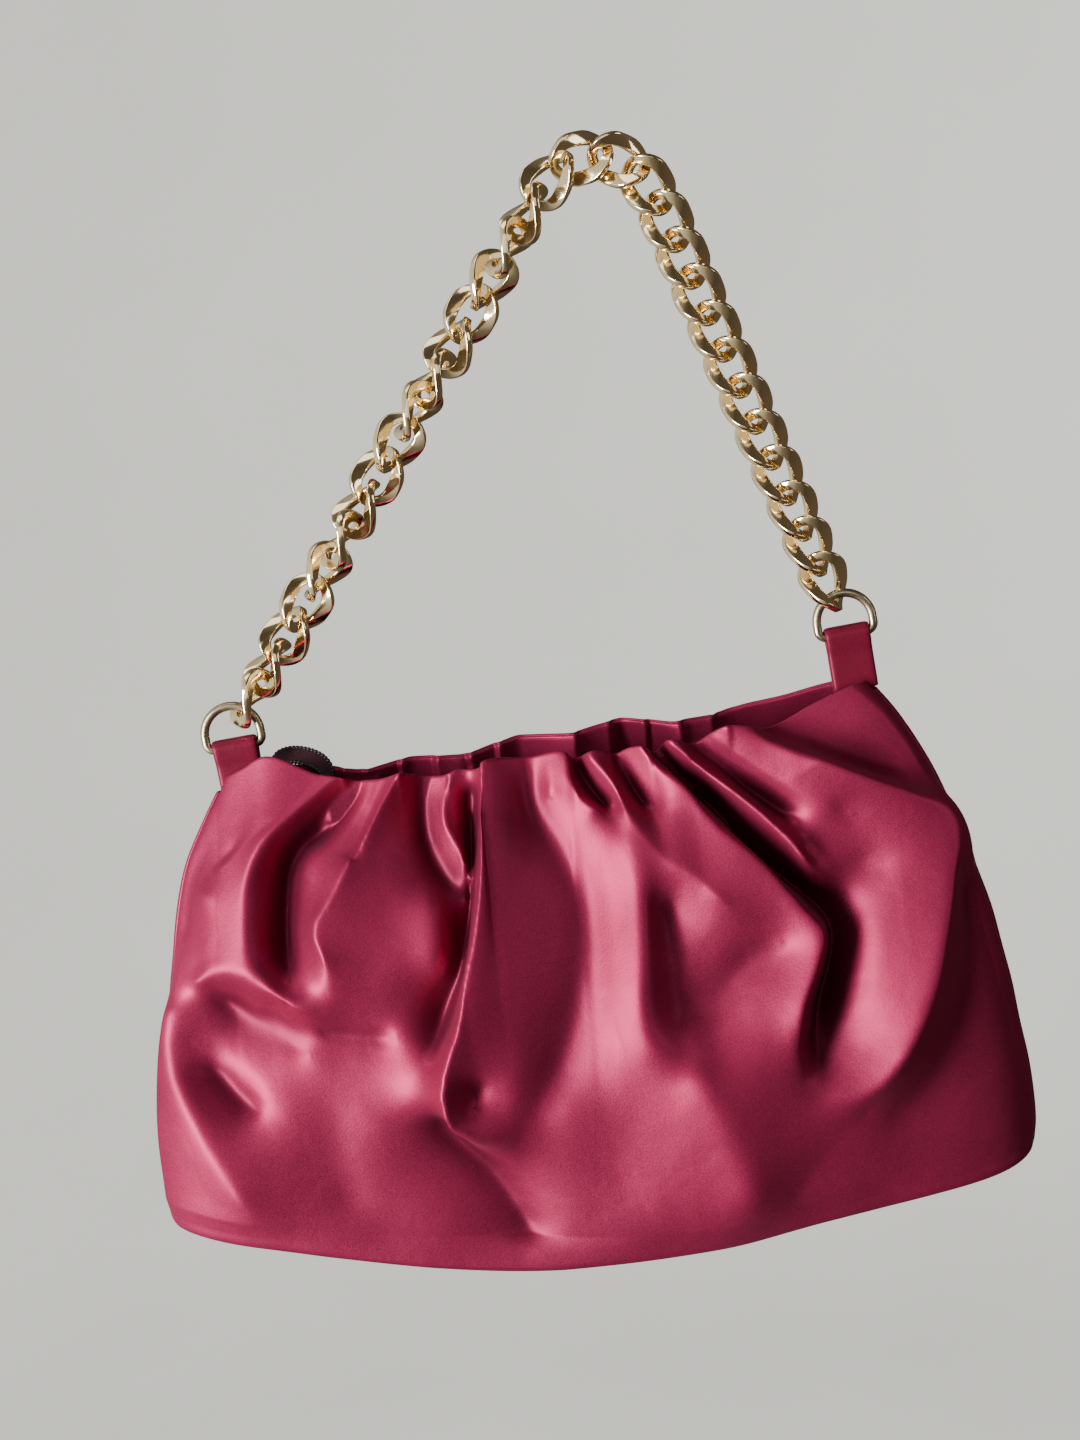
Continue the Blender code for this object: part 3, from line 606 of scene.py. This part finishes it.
def knife_pleats(grid, left_edges, right_edges, depth, reach, lift):
    """How far overlapping pleats stand towards the front, and how far they raise the rim."""
    x = grid[..., 0]
    below = grid[-1, :, 2][None] - grid[..., 2]
    proud = np.zeros_like(x)
    for edges, lean in ((left_edges, 1), (right_edges, -1)):
        for edge in edges:
            inward = lean * (x - edge)
            proud += np.where(inward > 0, np.exp(-np.clip(inward, 0, None) / PLEAT_FLAT), 0)
    kernel = np.array([1.0, 2.0, 1.0]) / 4
    wide = np.pad(proud, ((0, 0), (1, 1)), mode="edge")
    proud = sum(k * wide[:, i:i + proud.shape[1]] for i, k in enumerate(kernel))
    proud = proud * depth * np.exp(-(below / reach)**1.5)
    return proud, proud * lift * np.exp(-(below / RIM_LIFT_REACH)**2)


def paint_crease_shade(piece, depth, rows, cols):
    """Write how far each point lies below the leather around it, from 0 to 1, as the attribute that paints
    shade into the leather's colour at the bottom of the folds.
    """
    sunk = depth - blur(depth, CREASE_SHADE_BLUR)
    share = np.clip((sunk - CREASE_SHADE_FROM) / CREASE_SHADE_SPAN, 0, 1).reshape(-1)
    values = np.zeros(len(piece.data.vertices))
    values[:rows * cols] = share
    layer = piece.data.attributes.new("painted_crease_shade", 'FLOAT', 'POINT')
    layer.data.foreach_set("value", values)


def clear_zip(points, side):
    """Keep the folds out of the way of the zip slider on its run."""
    x, z = points[..., 0], points[..., 2]
    low, high = SLIDER_ROOM
    near = np.clip((x - low[0]) / 4, 0, 1) * np.clip((high[0] - x) / 4, 0, 1)
    near = near * np.clip((z - low[1]) / 4, 0, 1) * np.clip((high[1] - z) / 2, 0, 1)
    gap = side * points[..., 1]
    short = np.maximum(SLIDER_SIDE - gap, 0) * near
    points[..., 1] += side * short


def wall(name, side, rows, cols, folds, seed, pleats):
    """Outer wall with its folds; returns its surface and normals for what lies under it."""
    grid = wall_grid(side, rows, cols)
    normals = grid_normals(grid, (0, side, 0))
    height = fold_field(grid, folds) * FOLD_SCALE
    t = np.linspace(0, 1, rows)[:, None]
    c = np.linspace(0, 1, cols)[None, :]
    calm = np.clip(np.minimum(c, 1 - c) / SIDE_CALM, 0, 1) * np.clip(t / BASE_CALM, 0, 1)
    rim = RIM_SHARE + RIM_REST * np.clip((1 - t) / RIM_BAND, 0, 1)
    height = height * calm * rim + wrinkles(grid, seed, *WALL_WAVES) * calm
    height = height + seam_pinch(rows, cols, *SEAM_PINCH)
    proud, lift = knife_pleats(grid, *pleats)
    height = height - side * proud * calm
    points = grid + normals * height[..., None]
    points[..., 2] += lift * calm
    clear_zip(points, side)
    piece = closed_sheet(name, points, points - normals * LEATHER_THICK, BURGUNDY)
    # painted shade: darkens the leather's colour at the bottom of the folds
    paint_crease_shade(piece, -height, rows, cols)
    return points, normals


FRONT_CELLS, BACK_CELLS, END_CELLS = (240, 400), (140, 330), (120, 18)
END_KEPT = 117             # rows of an end wall; it stops short of the rim
INSIDE_GAP = 3.2


def build_body():
    front, front_normals = wall("front_wall", -1, *FRONT_CELLS, FRONT_FOLDS, 3, FRONT_PLEATS)
    back, back_normals = wall("back_wall", 1, *BACK_CELLS, BACK_FOLDS, 8, BACK_PLEATS)
    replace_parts(bpy.data.objects["front_wall"], "front_panel")
    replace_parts(bpy.data.objects["back_wall"], "back_panel")
    for end, out in (("left", (-1, 0, 0)), ("right", (1, 0, 0))):
        grid = end_grid(end, *END_CELLS)
        normals = grid_normals(grid, out)
        height = wrinkles(grid, 5, *END_WAVES) + seam_pinch(*grid.shape[:2], *SEAM_PINCH)
        points = (grid + normals * height[..., None])[:END_KEPT]
        piece = closed_sheet(end + "_end", points, points - normals[:END_KEPT] * LEATHER_THICK,
                             BURGUNDY)
        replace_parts(piece, end + "_gusset")
    build_base()
    build_inside(front, front_normals, -1)
    build_inside(back, back_normals, 1)
    return {"front": front - front_normals * INSIDE_GAP, "back": back - back_normals * INSIDE_GAP}


def build_base():
    """Sewn base between the walls, sagging a little past its seam."""
    across, along = 26, 150
    front, back = section(0, -1, 2, 178, along), section(0, 1, 2, 178, along)
    share = np.linspace(0.012, 0.988, across)[:, None, None]
    grid = front[None] * (1 - share) + back[None] * share
    sag = np.sin(math.pi * share[..., 0])**0.35
    grid[..., 2] -= 0.9 * sag - 0.4
    inner = grid + np.array([0, 0, 1.2])
    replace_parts(closed_sheet("base_cover", grid, inner, BURGUNDY),
                "base_panel")
    middle = grid[6:-6, 12:-12:2] + np.array([0, 0, 2.6])
    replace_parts(closed_sheet("base_stiffener", middle, middle + np.array([0, 0, 1.5]), BOARD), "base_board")


FACING_FROM = 0.86         # share of the wall's height at which the facing strip begins
FACING_DEPTHS, LINING_DEPTHS = (1.4, 2.5), (3.0, 3.7)   # outer and inner face, below the wall


def build_inside(points, normals, side):
    """Facing strip and lining that follow the wall from inside."""
    word = "front" if side < 0 else "back"
    rows, cols = points.shape[:2]
    low = int(rows * FACING_FROM)
    trim = slice(4, cols - 4)
    strip, turn = points[low:, trim], normals[low:, trim]
    outer, inner = (strip - turn * depth for depth in FACING_DEPTHS)
    cover = closed_sheet(word + "_facing_strip", outer, inner, BURGUNDY)
    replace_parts(cover, word + "_facing")
    sack, turn = points[3:low - 2:3, trim], normals[3:low - 2:3, trim]
    sack, turn = sack[:, ::2], turn[:, ::2]
    outer, inner = (sack - turn * depth for depth in LINING_DEPTHS)
    cloth = closed_sheet(word + "_lining_cloth", outer, inner, LINING)
    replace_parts(cloth, "lining")


# ---------------------------------------------------------------------- chain
LINK = dict(inner=13.95, width=16.4, side=(4.5, 2.85), end=(3.2, 2.75), twist=47.0)
BAR_JOINT = next(j for j in frame["joints"] if j["name"] == "bag_swing")


def wire_section(wide, thick):
    """Flattened wire outline: broad polished flats above and below, softened edges."""
    outline = [(1.0, 0.0), (0.985, 0.5), (0.94, 0.78), (0.86, 0.94), (0.74, 1.0), (0, 1.0)]
    quarter = [(a * wide / 2, b * thick / 2) for a, b in outline]
    upper = quarter + [(-a, b) for a, b in reversed(quarter[:-1])]
    return upper + [(a, -b) for a, b in reversed(upper[1:-1])]


def link_shape(inner, width, side, end, twist):
    """Twisted stadium ring about its long axis Z, centred on the origin."""
    arc, legs = 18, 8
    half_length, half_width = (inner + end[0]) / 2, (width - side[0]) / 2
    straight = half_length - half_width
    path = []
    for start, lift in ((0, straight), (math.pi, -straight)):
        for i in range(arc + 1):
            a = start + math.pi * i / arc
            out = Vector((math.cos(a), 0, math.sin(a)))
            path.append((Vector((0, 0, lift)) + out * half_width, out))
        out = Vector((math.cos(start + math.pi), 0, 0))
        for i in range(1, legs):
            path.append((out * half_width + Vector((0, 0, lift - 2 * lift * i / legs)), out))
    points = []
    for centre, out in path:
        share = abs(out.z)**1.3
        wide = side[0] + (end[0] - side[0]) * share
        thick = side[1] + (end[1] - side[1]) * share
        for across, up in wire_section(wide, thick):
            p = centre + out * across + Vector((0, up, 0))
            points.append(Matrix.Rotation(-math.radians(twist) * p.z / half_length, 3, 'Z') @ p)
    return np.array(points), len(path)


def node_axes(node):
    """Centre and axes (broad, thin, long) of a link, from its CAD node's points."""
    rows = {tuple(round(c, 6) for c in v.co) for v in frame["nodes"][node].data.vertices}
    points = np.array(sorted(rows))
    centre = points.mean(0)
    values, axes = np.linalg.eigh((points - centre).T @ (points - centre))
    thin, broad, long = axes.T
    if np.linalg.det([broad, thin, long]) < 0:
        thin = -thin
    return centre / MM, np.array([broad, thin, long])


def build_chain():
    shape, sections = link_shape(**LINK)
    sides = len(shape) // sections
    faces = tube_faces(sections, sides)
    for node in sorted(n for n in frame["nodes"] if n.startswith("link_")):
        centre, axes = node_axes(node)
        body = frame["nodes"][node]["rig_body"]
        piece = add_mesh(node + "_polished", shape @ axes + centre, faces, GOLD, body)
        outward(piece)
        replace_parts(piece, node)


# ------------------------------------------------------------- rings and tabs
RING = dict(wire=1.4, arc=8.9, rise=4.3, corner=2.5)
TAB_WIDE, TAB_OUT, TAB_IN = 7.1, 3.1, 1.75


def bar_frame(node):
    """Centre and axes (along the swing line, across, away from the bag) at a ring's bar."""
    along = np.array(BAR_JOINT["axis"], float)
    along *= np.sign(along[0]) / np.linalg.norm(along)
    low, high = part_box(node)
    middle = (np.array(low) + np.array(high)) / 2
    on_line = np.array(BAR_JOINT["pos_m"], float)
    across = np.array([0.0, 1.0, 0.0])
    up = np.cross(along, across)
    centre = on_line + along * ((middle - on_line) @ along)
    return centre / MM, np.array([along, across, up])


def build_ring(node):
    wire, arc, rise, corner = (RING[k] for k in ("wire", "arc", "rise", "corner"))
    path = []
    for i in range(9):
        a = -math.pi / 2 + math.pi / 2 * i / 8
        out = np.array([math.cos(a), 0, math.sin(a)])
        path.append((np.array([arc - corner, 0, corner]) + out * corner, out))
    for i in range(1, 32):
        a = math.pi * i / 32
        out = np.array([math.cos(a), 0, math.sin(a)])
        path.append((np.array([0, 0, rise]) + out * arc, out))
    mirror = np.array([-1, 1, 1])
    path += [(c * mirror, o * mirror) for c, o in reversed(path[:9])]
    sides = 14
    points = []
    for centre, out in path:
        for k in range(sides):
            a = math.tau * k / sides
            points.append(centre + wire * (out * math.cos(a) + np.array([0, math.sin(a), 0])))
    centre, axes = bar_frame(node)
    piece = add_mesh(node + "_wire", np.array(points) @ axes + centre,
                     tube_faces(len(path), sides), BRASS, "rings")
    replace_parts(outward(piece), node)


def build_tab(node, ring):
    """Leather strip folded round the ring's bar, both legs running into the mouth."""
    centre, axes = bar_frame(ring)
    depth = 17.0
    profile = [(TAB_OUT - 1.3, -z) for z in np.linspace(depth, 6.0, 8)]
    profile += [(TAB_OUT - 0.9, -4.2), (TAB_OUT - 0.25, -2.4)]
    profile += [(TAB_OUT * math.cos(a), TAB_OUT * math.sin(a))
                for a in np.linspace(-0.35, math.pi + 0.35, 19)]
    profile += [(-(TAB_OUT - 0.25), -2.4), (-(TAB_OUT - 0.9), -4.2)]
    profile += [(-(TAB_OUT - 1.3), -z) for z in np.linspace(6.0, depth, 8)]
    inner = [(0.04, -z) for z in np.linspace(depth, 6.0, 8)]
    inner += [(0.12, -4.2), (0.9, -2.4)]
    inner += [(TAB_IN * math.cos(a), TAB_IN * math.sin(a))
              for a in np.linspace(-0.9, math.pi + 0.9, 19)]
    inner += [(-0.9, -2.4), (-0.12, -4.2)]
    inner += [(-0.04, -z) for z in np.linspace(6.0, depth, 8)]
    widths = np.linspace(-TAB_WIDE, TAB_WIDE, 25)
    outer_grid, inner_grid = [], []
    for w in widths:
        round_off = 0.35 * (abs(w) / TAB_WIDE)**14
        row_out, row_in = [], []
        for (y, z), (a, b) in zip(profile, inner):
            crown = 1 - round_off
            row_out.append((w, a + (y - a) * crown, b + (z - b) * crown))
            row_in.append((w, a, b))
        outer_grid.append(row_out)
        inner_grid.append(row_in)
    outer_grid = np.array(outer_grid).transpose(1, 0, 2) @ axes + centre
    inner_grid = np.array(inner_grid).transpose(1, 0, 2) @ axes + centre
    piece = closed_sheet(node + "_strip", outer_grid, inner_grid, DARK_BURGUNDY)
    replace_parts(piece, node)


# ------------------------------------------------------------------------ zip
TOOTH_STEPS = 6            # cross-sections of a coil for each tooth
TAPE_HALF = 0.3            # half the thickness of the zip's tape
TAIL_HALF, TAIL_TEETH = 2.6, 2.8    # the tail's half width, and its teeth from its middle


def toothed_row(name, path, size, pitch, node):
    """Coil of teeth along a line of points: a bead that swells at every turn."""
    path = np.asarray(path, float)
    run = np.concatenate([[0], np.cumsum(np.linalg.norm(np.diff(path, axis=0), axis=1))])
    count = int(run[-1] / pitch) * TOOTH_STEPS
    at = np.linspace(0, run[-1], count)
    line = np.stack([np.interp(at, run, path[:, k]) for k in range(3)], 1)
    along = np.gradient(line, axis=0)
    along /= np.linalg.norm(along, axis=1, keepdims=True)
    side = np.cross(along, np.array([0.05, 1.0, 0.02]))
    side /= np.linalg.norm(side, axis=1, keepdims=True)
    other = np.cross(along, side)
    sides = 8
    points = []
    for i in range(count):
        swell = 0.62 + 0.38 * abs(math.cos(math.pi * i / TOOTH_STEPS))
        for k in range(sides):
            a = math.tau * k / sides
            points.append(line[i] + (side[i] * math.cos(a) + other[i] * math.sin(a))
                          * size / 2 * swell)
    faces = grid_faces(count, sides, wrap=True)
    faces += [tuple(range(sides)), tuple((count - 1) * sides + k for k in range(sides))]
    piece = outward(add_mesh(name, points, faces, COIL, "bag"))
    if node:
        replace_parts(piece, node)


def build_zip(inside):
    for word, side in (("front", -1), ("back", 1)):
        low, high = (np.array(c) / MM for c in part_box("zip_coil_" + word))
        middle = (low + high) / 2
        path = [(x, middle[1], middle[2] + 0.25 * math.sin(x / 17))
                for x in np.linspace(low[0] + 0.6, high[0] - 0.6, 60)]
        toothed_row("zip_teeth_" + word, path, high[1] - low[1], 1.25, "zip_coil_" + word)
        tape_low, tape_high = (np.array(c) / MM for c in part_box("zip_tape_" + word))
        near = min(abs(tape_low[1]), abs(tape_high[1]))
        xs = np.linspace(tape_low[0], tape_high[0], 90)
        wall_points = inside[word].reshape(-1, 3)
        level = wall_points[np.abs(wall_points[:, 2] - middle[2]) < 2.0]
        far = np.array([np.abs(level[np.abs(level[:, 0] - x) < 1.6][:, 1]).min() for x in xs])
        share = np.linspace(0, 1, 12)[:, None]
        y = side * (near + (far[None] - near) * share)
        loose = np.clip((np.abs(y) - 6.2) / 3, 0, 1)
        z = tape_low[2] + 0.35 + loose * (0.5 * np.sin(xs[None] / 9.0 + side) + 0.6)
        grid = np.stack([np.broadcast_to(xs, y.shape), y, z], 2)
        half = np.array([0, 0, TAPE_HALF])
        tape = closed_sheet("zip_cloth_" + word, grid + half, grid - half, TAPE_CLOTH)
        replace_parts(tape, "zip_tape_" + word)
    build_zip_tail()


def build_zip_tail():
    """The closed end of the tape, standing out of the mouth and folded over backwards."""
    line = spline([(0, -97.0, 6.7, -188.0), (1, -95.4, 6.7, -181.0), (2, -97.4, 6.8, -176.2),
                   (3, -102.0, 7.0, -173.3), (4, -107.5, 7.2, -172.2), (5, -112.0, 7.4, -173.1),
                   (6, -114.5, 7.6, -175.5)], np.linspace(0, 6, 60))
    wide = np.array([0.34, 0.62, 0.707])
    share = np.linspace(-1, 1, 13)[None, :, None]
    grid = line[:, None] + wide * TAIL_HALF * share
    face = np.cross(np.gradient(line, axis=0), wide)
    face /= np.linalg.norm(face, axis=1, keepdims=True)
    face = face[:, None]
    grid = grid + face * 0.25 * (1 - share**2)
    closed_sheet("zip_tail_cloth", grid + face * TAPE_HALF, grid - face * TAPE_HALF, TAPE_CLOTH)
    for word, edge in (("left", -1), ("right", 1)):
        toothed_row("zip_tail_teeth_" + word, line + wide * TAIL_TEETH * edge, 1.5, 1.2, None)


def finish_hardware():
    """Slider, puller and stops keep their CAD shape, with softened edges."""
    for node in ("zip_slider", "zip_puller", "zip_bottom_stop", "zip_top_stop_front",
                 "zip_top_stop_back"):
        piece = frame["nodes"][node]
        piece.data.materials.clear()
        piece.data.materials.append(ZIP_METAL)
        soften = piece.modifiers.new("soft_edges", 'BEVEL')
        soften.width = 0.00022
        soften.segments = 2
        soften.limit_method = 'ANGLE'


# ---------------------------------------------------------------------- stage
def build_stage():
    """Round pale floor that curves up into a far wall."""
    floor, radius, bend = -1400.0, 3600.0, 1400.0
    profile = [(0.0, floor), (radius - bend, floor)]
    profile += [(radius - bend + bend * math.sin(a), floor + bend * (1 - math.cos(a)))
                for a in np.linspace(0, math.pi / 2, 13)[1:]]
    profile += [(radius, floor + bend + 3000)]
    sides = 64
    points = [(max(r, 1.0) * math.cos(math.tau * k / sides),
               max(r, 1.0) * math.sin(math.tau * k / sides), z)
              for r, z in profile for k in range(sides)]
    faces = grid_faces(len(profile), sides, wrap=True) + [tuple(range(sides))]
    mesh = bpy.data.meshes.new("studio_floor")
    mesh.from_pydata((np.array(points) * MM).tolist(), [], faces)
    mesh.shade_smooth()
    mesh.materials.append(plain_stage("studio_paper", (0.80, 0.80, 0.75)))
    room = bpy.data.objects.new("studio_floor", mesh)
    bpy.context.scene.collection.objects.link(room)
    room.visible_diffuse = False
    room.visible_glossy = False
    room.visible_shadow = False


def build_sky():
    """Surroundings that are bright on the left and dim on the right."""
    world = bpy.data.worlds.new("studio_sky")
    bpy.context.scene.world = world
    world.use_nodes = True
    tree = world.node_tree
    back = tree.nodes["Background"]
    where = tree.nodes.new("ShaderNodeTexCoord")
    parts = tree.nodes.new("ShaderNodeSeparateXYZ")
    tree.links.new(where.outputs["Generated"], parts.inputs[0])
    ramp = tree.nodes.new("ShaderNodeValToRGB")
    span = tree.nodes.new("ShaderNodeMapRange")
    span.inputs["From Min"].default_value = -1
    tree.links.new(parts.outputs[0], span.inputs[0])
    tree.links.new(span.outputs[0], ramp.inputs[0])
    stops = ((0.0, (1.0, 1.0, 0.98)), (0.2, (0.75, 0.75, 0.72)), (0.40, (0.20, 0.19, 0.17)),
             (0.6, (0.08, 0.07, 0.06)), (1.0, (0.12, 0.10, 0.08)))
    while len(ramp.color_ramp.elements) < len(stops):
        ramp.color_ramp.elements.new(0.5)
    for element, (at, colour) in zip(ramp.color_ramp.elements, stops):
        element.position = at
        element.color = (*colour, 1)
    tree.links.new(ramp.outputs[0], back.inputs["Color"])
    back.inputs["Strength"].default_value = 0.9


def build_lights():
    add_light("key", (-1480, -1170, -320), (500, 1500), 120)
    add_light("front_fill", (-200, -1800, 550), (2000, 1200), 7)
    add_light("right_fill", (1500, -900, 300), (450, 900), 4)
    add_light("top", (-500, -200, 1500), (900, 900), 5)


BAG_MIDDLE = Vector((-26, 0, -230))


def add_light(name, place, size, power):
    """Rectangular lamp aimed at the middle of the bag."""
    data = bpy.data.lights.new(name, 'AREA')
    data.shape = 'RECTANGLE'
    data.size, data.size_y = size[0] * MM, size[1] * MM
    data.energy = power
    lamp = bpy.data.objects.new(name, data)
    bpy.context.scene.collection.objects.link(lamp)
    lamp.location = Vector(place) * MM
    aim = BAG_MIDDLE * MM - lamp.location
    lamp.rotation_euler = aim.to_track_quat('-Z', 'Y').to_euler()


def build_camera():
    look_at = Vector((-0.0264, 0, -0.1667))
    rise, distance, roll = math.radians(8.0), 0.68, math.radians(-4.77)
    back = Vector((0, -math.cos(rise), math.sin(rise)))
    side = Vector((1, 0, 0))
    up = back.cross(side)
    right = side * math.cos(roll) + up * math.sin(roll)
    data = bpy.data.cameras.new("camera")
    data.lens = 53.45
    data.sensor_width = 36
    data.clip_start = 0.05
    camera = bpy.data.objects.new("camera", data)
    bpy.context.scene.collection.objects.link(camera)
    turn = Matrix((right, back.cross(right), back)).transposed().to_4x4()
    camera.matrix_world = Matrix.Translation(look_at + back * distance) @ turn
    bpy.context.scene.camera = camera


inside_faces = build_body()
build_chain()
for word in ("left", "right"):
    build_ring("d_ring_" + word)
    build_tab("tab_" + word, "d_ring_" + word)
build_zip(inside_faces)
finish_hardware()
build_stage()
build_sky()
build_lights()
build_camera()
